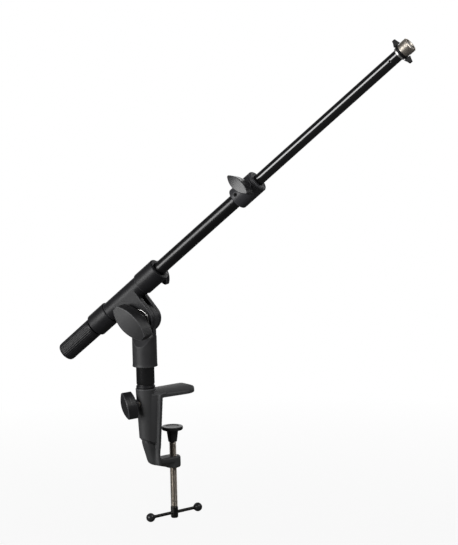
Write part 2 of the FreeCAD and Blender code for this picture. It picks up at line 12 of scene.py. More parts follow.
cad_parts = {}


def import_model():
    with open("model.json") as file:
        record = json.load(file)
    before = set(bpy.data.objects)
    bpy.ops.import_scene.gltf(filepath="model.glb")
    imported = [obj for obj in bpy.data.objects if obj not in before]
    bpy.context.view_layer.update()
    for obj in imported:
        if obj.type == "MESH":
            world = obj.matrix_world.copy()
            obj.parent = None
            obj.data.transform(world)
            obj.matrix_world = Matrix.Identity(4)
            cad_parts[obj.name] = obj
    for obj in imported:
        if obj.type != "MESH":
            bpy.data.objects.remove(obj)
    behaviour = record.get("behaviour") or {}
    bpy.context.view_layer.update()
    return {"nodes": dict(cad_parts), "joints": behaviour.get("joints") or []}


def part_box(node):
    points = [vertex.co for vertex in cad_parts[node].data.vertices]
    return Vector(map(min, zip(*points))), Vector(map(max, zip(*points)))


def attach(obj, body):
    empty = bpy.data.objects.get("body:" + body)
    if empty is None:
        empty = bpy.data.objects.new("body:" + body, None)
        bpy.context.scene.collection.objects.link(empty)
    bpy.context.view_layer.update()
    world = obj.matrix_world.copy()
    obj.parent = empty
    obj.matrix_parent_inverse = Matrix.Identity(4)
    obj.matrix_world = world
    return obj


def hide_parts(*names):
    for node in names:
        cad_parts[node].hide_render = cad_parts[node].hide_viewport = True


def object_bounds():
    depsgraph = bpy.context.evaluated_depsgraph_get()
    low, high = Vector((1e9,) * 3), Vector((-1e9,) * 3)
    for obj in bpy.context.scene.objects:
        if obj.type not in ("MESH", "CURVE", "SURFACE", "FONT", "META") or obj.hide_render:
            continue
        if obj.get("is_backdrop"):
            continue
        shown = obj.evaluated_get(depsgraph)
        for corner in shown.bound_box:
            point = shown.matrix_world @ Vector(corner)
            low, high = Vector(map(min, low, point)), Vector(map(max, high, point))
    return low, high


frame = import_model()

NODES = frame["nodes"]
JOINTS = {joint["name"]: joint for joint in frame["joints"]}
MM = 0.001
INCH = 25.4 * MM
UP = Vector((0, 0, 1))
INTO_JAW = Vector((1, 0, 0))


# Local frames, taken from the joints

def place_on(origin, along, side):
    """Frame with Z along an axis and X turned towards a side."""
    z = Vector(along).normalized()
    x = (Vector(side) - z * z.dot(Vector(side))).normalized()
    turn = Matrix((x, z.cross(x), z)).transposed().to_4x4()
    return Matrix.Translation(Vector(origin)) @ turn


PIVOT_POINT = Vector(JOINTS["boom_tilt"]["pos_m"])
KNOB_SIDE = Vector(JOINTS["boom_tilt"]["axis"])
BOOM_ALONG = Vector(JOINTS["boom_slide"]["axis"])
BOOM_POINT = Vector(JOINTS["nut_turn"]["pos_m"])
BOOM_FOOT = BOOM_POINT + BOOM_ALONG * BOOM_ALONG.dot(PIVOT_POINT - BOOM_POINT)
SCREW = place_on(JOINTS["screw_turn"]["pos_m"], UP, INTO_JAW)
POST = place_on(JOINTS["post_swivel"]["pos_m"], UP, -KNOB_SIDE)
PIVOT = place_on(PIVOT_POINT, KNOB_SIDE, BOOM_ALONG)
BOOM = place_on(BOOM_FOOT, BOOM_ALONG, UP)
Extent = namedtuple("Extent", "low high bore radius")


def local_points(node, place):
    inverse = place.inverted()
    return [inverse @ vertex.co for vertex in NODES[node].data.vertices]


def extent(node, place):
    """How far a node reaches along a frame's axis, and its least and greatest distance from it."""
    points = local_points(node, place)
    heights = [point.z for point in points]
    radii = [point.xy.length for point in points]
    return Extent(min(heights), max(heights), min(radii), max(radii))


def knob_frame(knob):
    """Frame of a knob: Z out along its screw, X along its leaf."""
    joint = JOINTS[knob + "_turn"]
    flat = place_on(joint["pos_m"], joint["axis"], BOOM_ALONG)
    tip = max(local_points(knob, flat), key=lambda point: point.xy.length)
    return place_on(joint["pos_m"], joint["axis"], flat.to_3x3() @ Vector((tip.x, tip.y, 0)))


def bar_frame():
    low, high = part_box("tommy_bar")
    return place_on((low + high) / 2, JOINTS["bar_slide"]["axis"], UP)


# Mesh building

SIDES = 96
ROD_SIDES = 48
BALL_SIDES = 64
ARC_STEPS = 6
THREAD_STEP = 0.125 * MM
JOIN_DISTANCE = 1e-7
SMOOTHING = 0.5
SHARP_ANGLE = math.radians(38)
# Easings that most edges of turned pieces have
CRISP = 0.2 * MM
EASED = 0.3 * MM
BLUNT = 0.4 * MM
SOFT = 0.5 * MM


def held(value):
    """Value kept between 0 and 1."""
    return min(1, max(0, value))


def ridge(away, width):
    """Smooth ridge of height 1 that falls off on both sides."""
    return math.exp(-(away / width) ** 2)


def arc_of(radius, middle, turns, up=1):
    """Outline of a ball at the given turns, in degrees from its upper or lower pole."""
    angles = [math.radians(turn) for turn in turns]
    return [(radius * math.sin(angle), middle + up * radius * math.cos(angle)) for angle in angles]


def rounded_outline(corners, closed):
    """Points (radius, height) through the corners, each eased by its third number."""
    points = []
    for index, corner in enumerate(corners):
        here = Vector(corner[:2])
        easing = corner[2] if len(corner) > 2 else 0
        between = closed or 0 < index < len(corners) - 1
        if not easing or not between:
            points.append(here)
            continue
        before = Vector(corners[index - 1][:2]) - here
        after = Vector(corners[(index + 1) % len(corners)][:2]) - here
        cut = min(easing, before.length / 2, after.length / 2)
        start = here + before.normalized() * cut
        end = here + after.normalized() * cut
        for step in range(ARC_STEPS + 1):
            share = step / ARC_STEPS
            points.append(start * (1 - share) ** 2 + here * 2 * share * (1 - share) + end * share ** 2)
    return points


def divided(points, step, closed):
    """The same outline with its long runs cut into short ones."""
    result = []
    runs = list(zip(points, points[1:] + points[:1]))
    for start, end in runs if closed else runs[:-1]:
        count = max(1, math.ceil((end - start).length / step))
        result += [start.lerp(end, index / count) for index in range(count)]
    return result if closed else result + [points[-1]]


def turned(place, corners, closed=True, sides=SIDES, step=None, relief=None):
    """Mesh turned about a frame's axis. relief(angle, height, radius) gives the radius at each point."""
    outline = rounded_outline(corners, closed)
    if step:
        outline = divided(outline, step, closed)
    vertices = []
    for radius, height in outline:
        for side in range(sides):
            angle = 2 * math.pi * side / sides
            reach = relief(angle, height, radius) if relief else radius
            vertices.append(place @ Vector((reach * math.cos(angle), reach * math.sin(angle), height)))
    rows = len(outline)
    faces = []
    for row in range(rows if closed else rows - 1):
        above = (row + 1) % rows
        for side in range(sides):
            beside = (side + 1) % sides
            faces.append((row * sides + side, row * sides + beside,
                          above * sides + beside, above * sides + side))
    mesh = bpy.data.meshes.new("turned")
    mesh.from_pydata(vertices, [], faces)
    return cleaned(mesh)


def cleaned(mesh):
    """Join points that meet and turn all faces outward."""
    work = bmesh.new()
    work.from_mesh(mesh)
    bmesh.ops.remove_doubles(work, verts=work.verts, dist=JOIN_DISTANCE)
    bmesh.ops.recalc_face_normals(work, faces=work.faces)
    work.to_mesh(mesh)
    work.free()
    return mesh


def with_modifiers(mesh, *settings):
    """Mesh after a row of modifiers, each given as its kind and its values."""
    draft = bpy.data.objects.new("draft", mesh)
    bpy.context.scene.collection.objects.link(draft)
    for kind, values in settings:
        modifier = draft.modifiers.new(kind, kind)
        for name, value in values.items():
            setattr(modifier, name, value)
    shown = draft.evaluated_get(bpy.context.evaluated_depsgraph_get())
    result = bpy.data.meshes.new_from_object(shown)
    bpy.data.objects.remove(draft)
    return result


def softened(node, voxel, rounds, shape=None, rounder=None, extra=0):
    """Moulded copy of a node: even small faces, eased edges, then shape(point, normal) as fine relief.
    rounder(point) is the share of the extra rounds by which a point is eased further."""
    mesh = with_modifiers(
        NODES[node].data.copy(),
        ("REMESH", {"mode": "VOXEL", "voxel_size": voxel}),
        ("SMOOTH", {"factor": SMOOTHING, "iterations": rounds}),
    )
    if rounder:
        work = bmesh.new()
        work.from_mesh(mesh)
        rounds_left = [(vertex, extra * rounder(vertex.co)) for vertex in work.verts]
        for done in range(extra):
            rounds_left = [(vertex, due) for vertex, due in rounds_left if due > done]
            bmesh.ops.smooth_vert(work, verts=[vertex for vertex, _ in rounds_left], factor=SMOOTHING,
                                  use_axis_x=True, use_axis_y=True, use_axis_z=True)
        work.to_mesh(mesh)
        work.free()
    # Outer edges get a mask for worn paint and for a painted highlight along them
    mark_wear_and_highlight(mesh)
    if shape:
        normals = [vertex.normal.copy() for vertex in mesh.vertices]
        for vertex, normal in zip(mesh.vertices, normals):
            vertex.co += normal * shape(vertex.co, normal)
    return mesh


# Rounds that spread the lighter band of an edge, which is partly worn paint and partly a painted highlight,
# and the curvature at which it starts and is full
WEAR_HIGHLIGHT_EASING = 12
WEAR_HIGHLIGHT_FROM = 0.22 / MM
WEAR_HIGHLIGHT_FULL = 0.50 / MM


def mark_wear_and_highlight(mesh):
    """Store how sharply each point of a mesh bulges, from 0 on flats to 1 on tight outer edges. This is the
    mask of worn paint and of a painted highlight along the edges.
    """
    count = len(mesh.vertices)
    ends = np.empty(2 * len(mesh.edges), dtype=np.int64)
    mesh.edges.foreach_get("vertices", ends)
    start, end = ends[0::2], ends[1::2]
    places = np.empty(3 * count)
    mesh.vertices.foreach_get("co", places)
    normals = np.empty(3 * count)
    mesh.vertices.foreach_get("normal", normals)
    places = places.reshape(-1, 3)
    normals = normals.reshape(-1, 3)
    neighbours = np.maximum(np.bincount(ends, minlength=count), 1)
    run = places[end] - places[start]
    length = np.maximum((run ** 2).sum(axis=1), JOIN_DISTANCE ** 2)
    bend = np.bincount(start, -(run * normals[start]).sum(axis=1) / length, count)
    bend += np.bincount(end, (run * normals[end]).sum(axis=1) / length, count)
    bend = 2 * bend / neighbours
    for _ in range(WEAR_HIGHLIGHT_EASING):
        around = np.bincount(start, bend[end], count) + np.bincount(end, bend[start], count)
        bend = (bend + around / neighbours) / 2
    wear_highlight_mask = np.clip((bend - WEAR_HIGHLIGHT_FROM) / (WEAR_HIGHLIGHT_FULL - WEAR_HIGHLIGHT_FROM), 0, 1)
    mesh.attributes.new("wear_highlight_mask", "FLOAT", "POINT").data.foreach_set("value", wear_highlight_mask)


def cut_by(mesh, tool):
    """Mesh with a second mesh taken out of it."""
    cutter = bpy.data.objects.new("cutter", tool)
    bpy.context.scene.collection.objects.link(cutter)
    values = {"operation": "DIFFERENCE", "solver": "EXACT", "object": cutter}
    result = with_modifiers(mesh, ("BOOLEAN", values))
    bpy.data.objects.remove(cutter)
    return result


def box_mesh(place, low, high):
    """Box between two corners in a frame."""
    work = bmesh.new()
    bmesh.ops.create_cube(work, size=1.0)
    size = high - low
    for vertex in work.verts:
        share = vertex.co + Vector((0.5, 0.5, 0.5))
        vertex.co = place @ (low + Vector((share.x * size.x, share.y * size.y, share.z * size.z)))
    mesh = bpy.data.meshes.new("box")
    work.to_mesh(mesh)
    work.free()
    return mesh


# Share of a thread's depth within which a point counts as on the outer radius
THREAD_SKIN = 0.25


def helix(pitch, depth, low, high, outer):
    """Relief of a screw thread between two heights on an outer radius."""
    def relief(angle, height, radius):
        if radius < outer - depth * THREAD_SKIN or not low < height < high:
            return radius
        turn = (height / pitch - angle / (2 * math.pi)) % 1
        fade = min(1, (height - low) / pitch, (high - height) / pitch)
        flank = 0.5 + 0.5 * math.cos(2 * math.pi * turn)
        return radius - depth * fade * flank
    return relief


def add_piece(name, mesh, body, slot, nodes=(), finish=None):
    """Show a finished mesh on a body, in place of the nodes that it stands for.
    Its finish is the slot's, unless another is named."""
    mesh.name = name
    mesh.shade_smooth()
    mesh.set_sharp_from_angle(angle=SHARP_ANGLE)
    mesh.materials.clear()
    mesh.materials.append(FINISHES[finish or slot])
    piece = bpy.data.objects.new(name, mesh)
    bpy.context.scene.collection.objects.link(piece)
    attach(piece, body)
    if nodes:
        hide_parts(*nodes)


# Material building

# Range in which most of a noise lies
NOISE_LOW = 0.3
NOISE_HIGH = 0.7
# Places of the two colours and the result on a mix node
MIX_FIRST = 6
MIX_SECOND = 7
MIX_RESULT = 2
# Patches in which the lighter edge band (worn paint and painted highlight) is broken up: their size, their
# range of noise and the share that stays
WEAR_HIGHLIGHT_PATCH = 2.5 * MM
WEAR_HIGHLIGHT_NOISE = (0.3, 0.6)
WEAR_HIGHLIGHT_KEPT = (0.5, 1)


def new_finish(name, **values):
    """Material whose steady values sit on the shader itself."""
    material = bpy.data.materials.new(name)
    material.use_nodes = True
    shader = material.node_tree.nodes["Principled BSDF"]
    for socket, value in values.items():
        shader.inputs[socket.replace("_", " ")].default_value = value
    return material, material.node_tree, shader


def grain(tree, size, detail=4.0, place=None):
    """Noise whose features have the given size along the axes of a frame."""
    coordinates = tree.nodes.new("ShaderNodeTexCoord")
    mapping = tree.nodes.new("ShaderNodeMapping")
    mapping.vector_type = "TEXTURE"
    mapping.inputs["Scale"].default_value = size if hasattr(size, "__len__") else (size, size, size)
    if place:
        mapping.inputs["Rotation"].default_value = place.to_euler()
    texture = tree.nodes.new("ShaderNodeTexNoise")
    texture.inputs["Scale"].default_value = 1.0
    texture.inputs["Detail"].default_value = detail
    tree.links.new(coordinates.outputs["Object"], mapping.inputs["Vector"])
    tree.links.new(mapping.outputs["Vector"], texture.inputs["Vector"])
    return texture.outputs["Fac"]


def ranged(tree, value, low, high, start, end):
    """Value carried from one range to another."""
    carry = tree.nodes.new("ShaderNodeMapRange")
    for name, number in (("From Min", low), ("From Max", high), ("To Min", start), ("To Max", end)):
        carry.inputs[name].default_value = number
    tree.links.new(value, carry.inputs["Value"])
    return carry.outputs["Result"]


def toned(tree, value, dark, light, low=NOISE_LOW, high=NOISE_HIGH):
    """Colour between dark and light as a value goes from low to high."""
    ramp = tree.nodes.new("ShaderNodeValToRGB")
    ramp.color_ramp.elements[0].position = low
    ramp.color_ramp.elements[1].position = high
    ramp.color_ramp.elements[0].color = (*dark, 1)
    ramp.color_ramp.elements[1].color = (*light, 1)
    tree.links.new(value, ramp.inputs["Fac"])
    return ramp.outputs["Color"]


def multiplied(tree, first, second):
    product = tree.nodes.new("ShaderNodeMath")
    product.operation = "MULTIPLY"
    tree.links.new(first, product.inputs[0])
    tree.links.new(second, product.inputs[1])
    return product.outputs["Value"]


def worn_and_highlighted(tree, colour, bare_and_highlight_tone):
    """Colour that gives way to a lighter tone along the marked outer edges, broken up by fine noise. The
    lighter tone is partly worn paint and partly a painted highlight on the edges.
    """
    edge = tree.nodes.new("ShaderNodeAttribute")
    edge.attribute_name = "wear_highlight_mask"
    broken = ranged(tree, grain(tree, WEAR_HIGHLIGHT_PATCH), *WEAR_HIGHLIGHT_NOISE, *WEAR_HIGHLIGHT_KEPT)
    mix = tree.nodes.new("ShaderNodeMix")
    mix.data_type = "RGBA"
    tree.links.new(multiplied(tree, edge.outputs["Fac"], broken), mix.inputs[0])
    tree.links.new(colour, mix.inputs[MIX_FIRST])
    # The lighter edge tone is worn paint and a painted highlight together
    mix.inputs[MIX_SECOND].default_value = (*bare_and_highlight_tone, 1)
    return mix.outputs[MIX_RESULT]


def coloured(tree, shader, colour):
    tree.links.new(colour, shader.inputs["Base Color"])


def rough_with(tree, shader, value, smooth, rough):
    tree.links.new(ranged(tree, value, NOISE_LOW, NOISE_HIGH, smooth, rough), shader.inputs["Roughness"])


Layer = namedtuple("Layer", "height strength depth")


def bumped(tree, shader, *layers):
    """Stack of bumps, each on the one before."""
    normal = None
    for layer in layers:
        bump = tree.nodes.new("ShaderNodeBump")
        bump.inputs["Strength"].default_value = layer.strength
        bump.inputs["Distance"].default_value = layer.depth
        tree.links.new(layer.height, bump.inputs["Height"])
        if normal:
            tree.links.new(normal, bump.inputs["Normal"])
        normal = bump.outputs["Normal"]
    tree.links.new(normal, shader.inputs["Normal"])


def powder_coat(dark, light, smooth, rough, wear_and_highlight_tone, gloss):
    """Satin dark grey paint on the casting, with orange peel and lighter edges that are partly worn and
    partly a painted highlight.
    """
    material, tree, shader = new_finish("powder_coat", Specular_IOR_Level=gloss)
    speckle = grain(tree, size=0.7 * MM, detail=3)
    cloud = grain(tree, size=14 * MM, detail=3)
    peel = grain(tree, size=1.3 * MM, detail=2)
    coloured(tree, shader, worn_and_highlighted(tree, toned(tree, speckle, dark, light), wear_and_highlight_tone))
    rough_with(tree, shader, cloud, smooth, rough)
    bumped(tree, shader, Layer(peel, strength=0.10, depth=0.08 * MM),
           Layer(speckle, strength=0.08, depth=0.04 * MM))
    return material


def tube_paint(name, smooth, rough, gloss):
    """Gloss black stove enamel with faint lengthwise polish and dust."""
    material, tree, shader = new_finish(name, Specular_IOR_Level=gloss)
    streak = grain(tree, size=(1.5 * MM, 1.5 * MM, 60 * MM), detail=2, place=BOOM)
    dust = grain(tree, size=5 * MM, detail=6)
    black, dusty = (0.0045, 0.0045, 0.005), (0.0065, 0.0065, 0.007)
    coloured(tree, shader, toned(tree, dust, black, dusty, low=0.4, high=0.75))
    rough_with(tree, shader, streak, smooth, rough)
    bumped(tree, shader, Layer(dust, strength=0.02, depth=0.02 * MM))
    return material


def moulded_plastic(name, dark, light, smooth, rough, wear_and_highlight_tone, gloss):
    """Glass-filled plastic with a fine spark-eroded texture and lighter edges that are partly worn and partly
    a painted highlight.
    """
    material, tree, shader = new_finish(name, Specular_IOR_Level=gloss)
    pits = grain(tree, size=0.45 * MM, detail=3)
    cloud = grain(tree, size=9 * MM, detail=4)
    wave = grain(tree, size=2.5 * MM, detail=2)
    coloured(tree, shader, worn_and_highlighted(tree, toned(tree, cloud, dark, light), wear_and_highlight_tone))
    rough_with(tree, shader, cloud, smooth, rough)
    bumped(tree, shader, Layer(pits, strength=0.04, depth=0.02 * MM),
           Layer(wave, strength=0.03, depth=0.03 * MM))
    return material


def bare_metal(name, dark, light, smooth, rough, place):
    """Plated metal with turning marks and cloudy plating."""
    material, tree, shader = new_finish(name, Metallic=1.0)
    cloud = grain(tree, size=3 * MM, detail=4)
    marks = grain(tree, size=(8 * MM, 8 * MM, 0.12 * MM), detail=2, place=place)
    coloured(tree, shader, toned(tree, cloud, dark, light))
    rough_with(tree, shader, cloud, smooth, rough)
    bumped(tree, shader, Layer(marks, strength=0.05, depth=0.01 * MM),
           Layer(cloud, strength=0.02, depth=0.02 * MM))
    return material


def rubber(dark, light, smooth, rough, gloss):
    """Matt black grip rubber with a dusty bloom."""
    material, tree, shader = new_finish("ribbed_rubber", Specular_IOR_Level=gloss)
    bloom = grain(tree, size=6 * MM, detail=5)
    fine = grain(tree, size=0.35 * MM, detail=2)
    coloured(tree, shader, toned(tree, bloom, dark, light, high=0.75))
    rough_with(tree, shader, bloom, smooth, rough)
    bumped(tree, shader, Layer(fine, strength=0.2, depth=0.05 * MM))
    return material


def nylon(dark, light, smooth, rough, gloss):
    """Dark turned nylon with a faint cloud."""
    material, tree, shader = new_finish("nylon", Specular_IOR_Level=gloss)
    cloud = grain(tree, size=2 * MM, detail=4)
    fine = grain(tree, size=0.3 * MM, detail=2)
    coloured(tree, shader, toned(tree, cloud, dark, light))
    rough_with(tree, shader, cloud, smooth, rough)
    bumped(tree, shader, Layer(fine, strength=0.15, depth=0.03 * MM))
    return material


# Finishes by name: those of the slots, and tones of their own for pieces that differ from their slot's, or
# that are their slot's material with painted light or shade in the tone.
PLASTICS = {
    "charcoal_plastic": dict(
        dark=(0.012, 0.012, 0.0135), light=(0.016, 0.016, 0.018), wear_and_highlight_tone=(0.09, 0.09, 0.096),
        smooth=0.40, rough=0.46, gloss=0.36),
    "knob_plastic": dict(
        dark=(0.018, 0.018, 0.0195), light=(0.023, 0.023, 0.0245), wear_and_highlight_tone=(0.07, 0.07, 0.074),
        smooth=0.26, rough=0.31, gloss=0.45),
    "black_plastic": dict(
        dark=(0.016, 0.016, 0.017), light=(0.022, 0.022, 0.023), wear_and_highlight_tone=(0.03, 0.03, 0.03),
        smooth=0.24, rough=0.34, gloss=0.40),
    "nut_plastic": dict(
        dark=(0.007, 0.007, 0.008), light=(0.010, 0.010, 0.011), wear_and_highlight_tone=(0.014, 0.014, 0.015),
        smooth=0.42, rough=0.50, gloss=0.14),
    # Same charcoal plastic as the holder, painted lighter to stand in for the extra fill light that reaches
    # the sleeve (painted light)
    "sleeve_plastic": dict(
        dark=(0.035, 0.035, 0.037), light=(0.041, 0.041, 0.043), wear_and_highlight_tone=(0.055, 0.055, 0.058),
        smooth=0.44, rough=0.52, gloss=0.38),
    # Same plastic as the other knobs, painted a little darker to tone down the sheen on its face (painted
    # shade), with a much lighter edge tone that paints the highlight line along its edges
    "pivot_knob_plastic": dict(
        dark=(0.016, 0.016, 0.017), light=(0.021, 0.021, 0.0225), wear_and_highlight_tone=(0.12, 0.12, 0.126),
        smooth=0.36, rough=0.42, gloss=0.34),
    "clutch_plastic": dict(
        dark=(0.040, 0.040, 0.044), light=(0.047, 0.047, 0.052), wear_and_highlight_tone=(0.08, 0.08, 0.086),
        smooth=0.40, rough=0.46, gloss=0.42),
}
METALS = {
    "zinc_steel": dict(
        dark=(0.42, 0.38, 0.33), light=(0.50, 0.46, 0.41), smooth=0.32, rough=0.38, place=SCREW),
    "black_steel": dict(
        dark=(0.045, 0.044, 0.043), light=(0.065, 0.063, 0.061), smooth=0.30, rough=0.40, place=bar_frame()),
    "oxide_steel": dict(
        dark=(0.010, 0.010, 0.010), light=(0.016, 0.016, 0.016), smooth=0.45, rough=0.55, place=BOOM),
    "bright_steel": dict(
        dark=(0.70, 0.69, 0.67), light=(0.80, 0.79, 0.77), smooth=0.36, rough=0.46, place=PIVOT),
    "polished_steel": dict(
        dark=(0.70, 0.69, 0.67), light=(0.80, 0.79, 0.77), smooth=0.12, rough=0.18, place=PIVOT),
    "nickel": dict(
        dark=(0.56, 0.51, 0.45), light=(0.64, 0.59, 0.52), smooth=0.40, rough=0.46, place=BOOM),
    "brass_insert": dict(
        dark=(0.52, 0.37, 0.15), light=(0.68, 0.50, 0.22), smooth=0.22, rough=0.34, place=PIVOT),
}
PAINTS = {
    "gloss_black_tube": dict(smooth=0.25, rough=0.30, gloss=0.5),
    "thin_tube_paint": dict(smooth=0.10, rough=0.13, gloss=0.85),
    "post_tube_paint": dict(smooth=0.09, rough=0.12, gloss=0.85),
}
FINISHES = {
    "powder_coat": powder_coat(
        dark=(0.050, 0.0505, 0.052), light=(0.060, 0.0605, 0.062), wear_and_highlight_tone=(0.10, 0.10, 0.104),
        smooth=0.44, rough=0.52, gloss=0.35),
    "ribbed_rubber": rubber(
        dark=(0.008, 0.008, 0.009), light=(0.014, 0.014, 0.016), smooth=0.36, rough=0.46, gloss=0.45),
    "nylon": nylon(
        dark=(0.024, 0.024, 0.026), light=(0.031, 0.031, 0.033), smooth=0.4, rough=0.55, gloss=0.5),
}
for make, kinds in ((moulded_plastic, PLASTICS), (bare_metal, METALS), (tube_paint, PAINTS)):
    for kind, tones in kinds.items():
        FINISHES[kind] = make(kind, **tones)


# Clamp

CASTING_VOXEL = 0.4 * MM
CASTING_ROUNDS = 4
CASTING_EXTRA = 80
FOOT_NEAR_POST = -45.5 * MM
FOOT_AT_SPINE = -53.0 * MM
SPINE_OUTSIDE = -28.0 * MM
UNDERCUT = 1.4 * MM
UNDERCUT_FADE = 1.5 * MM
JAW_ROOT = -20.0 * MM
JAW_EDGE = 1.2 * MM
ARM_FROM = -56.0 * MM
ARM_FULL = -67.0 * MM
# Share of a normal along an axis, above which a face counts as square to it
SQUARE_ON = 0.7


def clamp_casting():
    """Casting with a rounder jaw and lower arm, and an undercut below the sloping foot of the barrel."""
    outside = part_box("clamp_body")[0].x

    def undercut(point, normal):
        if point.x > SPINE_OUTSIDE or abs(normal.z) > SQUARE_ON:
            return 0
        share = (point.x - outside) / (SPINE_OUTSIDE - outside)
        below = FOOT_NEAR_POST + (FOOT_AT_SPINE - FOOT_NEAR_POST) * share - point.z
        return -UNDERCUT * math.exp(-below / UNDERCUT_FADE) if below > 0 else 0

    def cast_edges(point):
        if point.x > JAW_ROOT and point.z > JAW_EDGE:
            return 1
        return held((ARM_FROM - point.z) / (ARM_FROM - ARM_FULL))
    mesh = softened("clamp_body", CASTING_VOXEL, CASTING_ROUNDS, undercut, cast_edges, CASTING_EXTRA)
    add_piece("clamp_casting", mesh, "clamp", "powder_coat", ["clamp_body"])


def bush_ring():
    """Bush whose rim stands out between two grooves."""
    bush = extent("post_bush", POST)
    sleeve = 8.0 * MM
    seat = bush.low + 6.0 * MM
    groove = bush.radius - 0.9 * MM
    lower_groove, rim_foot = seat + 0.7 * MM, seat + 0.9 * MM
    rim_top, upper_groove = bush.high - 1.6 * MM, bush.high - 1.2 * MM
    rim_easing = 0.6 * MM
    corners = [
        (bush.bore, bush.low), (sleeve, bush.low, EASED), (sleeve, seat), (groove, seat),
        (groove, lower_groove), (bush.radius, rim_foot, BLUNT), (bush.radius, rim_top, rim_easing),
        (groove, upper_groove), (groove, bush.high, CRISP), (bush.bore, bush.high),
    ]
    add_piece("bush_ring", turned(POST, corners), "clamp", "charcoal_plastic", ["post_bush"])


BALL_RADIUS = 3.6 * MM
BALL_PLAY = 0.15 * MM
CUP_TURNS = range(132, -1, -6)
BALL_TURNS = range(0, 136, 9)


def pad_disc():
    """Pad with a shallow dish in its face and a hub that holds the ball of the screw with play."""
    pad = extent("pressure_pad", SCREW)
    dish = pad.high - 0.5 * MM
    dish_foot, dish_edge = 0.62 * pad.radius, 0.66 * pad.radius
    face = pad.radius - 0.3 * MM
    under = pad.high - 4.0 * MM
    rim_foot = under + 1.6 * MM
    under_edge, under_easing = pad.radius - 0.8 * MM, 0.6 * MM
    hub_root, hub_easing = 7.4 * MM, 0.8 * MM
    hub, hub_top = 6.5 * MM, under - 1.0 * MM
    hub_waist, waist_height = 5.0 * MM, pad.low + 1.2 * MM
    hub_foot = 4.8 * MM
    mouth = 2.75 * MM
    middle = extent("clamp_screw", SCREW).high - BALL_RADIUS
    corners = [
        (0, dish), (dish_foot, dish, EASED), (dish_edge, pad.high, EASED), (face, pad.high, SOFT),
        (pad.radius, rim_foot, SOFT), (under_edge, under, under_easing), (hub_root, under, hub_easing),
        (hub, hub_top, SOFT), (hub_waist, waist_height, BLUNT), (hub_foot, pad.low, SOFT),
        (mouth, pad.low, CRISP),
    ] + arc_of(BALL_RADIUS + BALL_PLAY, middle, CUP_TURNS)
    add_piece("pad_disc", turned(SCREW, corners, closed=False), "pressure_pad", "black_plastic",
              ["pressure_pad"])


SCREW_PITCH = 1.25 * MM
SCREW_DEPTH = 0.78 * MM
SCREW_SHOULDER = -56.1 * MM
BOSS_LENGTH = 13.0 * MM


def screw_and_boss():
    """Screw with a ball tip, and the boss at its foot that the cross bar slides in."""
    screw = extent("clamp_screw", SCREW)
    middle = screw.high - BALL_RADIUS
    neck, neck_top = 2.6 * MM, middle - 2.4 * MM
    chamfer = 0.7 * MM
    thread_end = screw.low + BOSS_LENGTH
    run_out, run_in = thread_end - 2 * MM, SCREW_SHOULDER - 0.3 * MM
    corners = arc_of(BALL_RADIUS, middle, BALL_TURNS) + [
        (neck, neck_top), (neck, SCREW_SHOULDER), (screw.radius - chamfer, SCREW_SHOULDER),
        (screw.radius, SCREW_SHOULDER - chamfer), (screw.radius, thread_end), (0, thread_end),
    ]
    relief = helix(SCREW_PITCH, SCREW_DEPTH, run_out, run_in, screw.radius)
    mesh = turned(SCREW, corners, closed=False, sides=ROD_SIDES, step=THREAD_STEP, relief=relief)
    add_piece("screw_thread", mesh, "clamp_screw", "zinc_steel", ["clamp_screw"])
    boss = screw.radius + 0.1 * MM
    top, top_edge = thread_end + 0.3 * MM, thread_end - 0.4 * MM
    top_radius = boss - 0.5 * MM
    foot_chamfer = 0.8 * MM
    corners = [
        (0, top), (top_radius, top, CRISP), (boss, top_edge, EASED), (boss, screw.low + foot_chamfer, SOFT),
        (boss - foot_chamfer, screw.low, BLUNT), (0, screw.low),
    ]
    mesh = turned(SCREW, corners, closed=False, sides=BALL_SIDES)
    add_piece("screw_boss", mesh, "clamp_screw", "black_steel")


BAR_STEP = 4 * MM
BALL_BORE = 1.84 * MM
GATE_TURN = 168
GATE_STEPS = 24


def cross_bar():
    """Plain bar with eased ends."""
    place = bar_frame()
    bar = extent("tommy_bar", place)
    corners = [(0, bar.low), (bar.radius, bar.low, SOFT), (bar.radius, bar.high, SOFT), (0, bar.high)]
    mesh = turned(place, corners, closed=False, sides=ROD_SIDES, step=BAR_STEP)
    add_piece("cross_bar", mesh, "tommy_bar", "black_steel", ["tommy_bar"])


def bar_ball(side, node):
    """Moulded ball with a short collar on the bar and a flat at its gate."""
    low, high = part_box(node)
    ball = (high.z - low.z) / 2
    place = place_on((low + high) / 2, INTO_JAW * side, UP)
    collar = 2.8 * MM
    collar_edge = collar - 0.3 * MM
    start = math.degrees(math.asin(collar / ball))
    neck = -ball * math.cos(math.radians(start)) - 0.2 * MM
    turns = [start + (GATE_TURN - start) * step / GATE_STEPS for step in range(GATE_STEPS + 1)]
    arc = arc_of(ball, 0, turns, up=-1)
    gate_radius, gate_height = arc[-1]
    flat, gate = gate_radius - 0.3 * MM, gate_height - 0.1 * MM
    corners = [(BALL_BORE, -ball), (collar_edge, -ball, CRISP), (collar, neck)]
    corners += arc + [(flat, gate), (0, gate), (0, 0), (BALL_BORE, 0)]
    mesh = turned(place, corners, sides=BALL_SIDES)
    add_piece(node + "_moulded", mesh, "tommy_bar", "black_plastic", [node])


# Knobs

PARTING_PLACE = 0.62
PARTING_DEPTH = 0.10 * MM
PARTING_WIDTH = 0.22 * MM
KNOB_FACING = 0.4
STUD_PITCH = 1.0 * MM
STUD_DEPTH = 0.5 * MM


def knob_relief(place, parting):
    """Fine parting line round the sides of a knob at one height."""
    inverse = place.inverted()
    outward = place.to_3x3().col[2]

    def relief(point, normal):
        if abs(normal.dot(outward)) > KNOB_FACING:
            return 0
        return -PARTING_DEPTH * ridge((inverse @ point).z - parting, PARTING_WIDTH)
    return relief


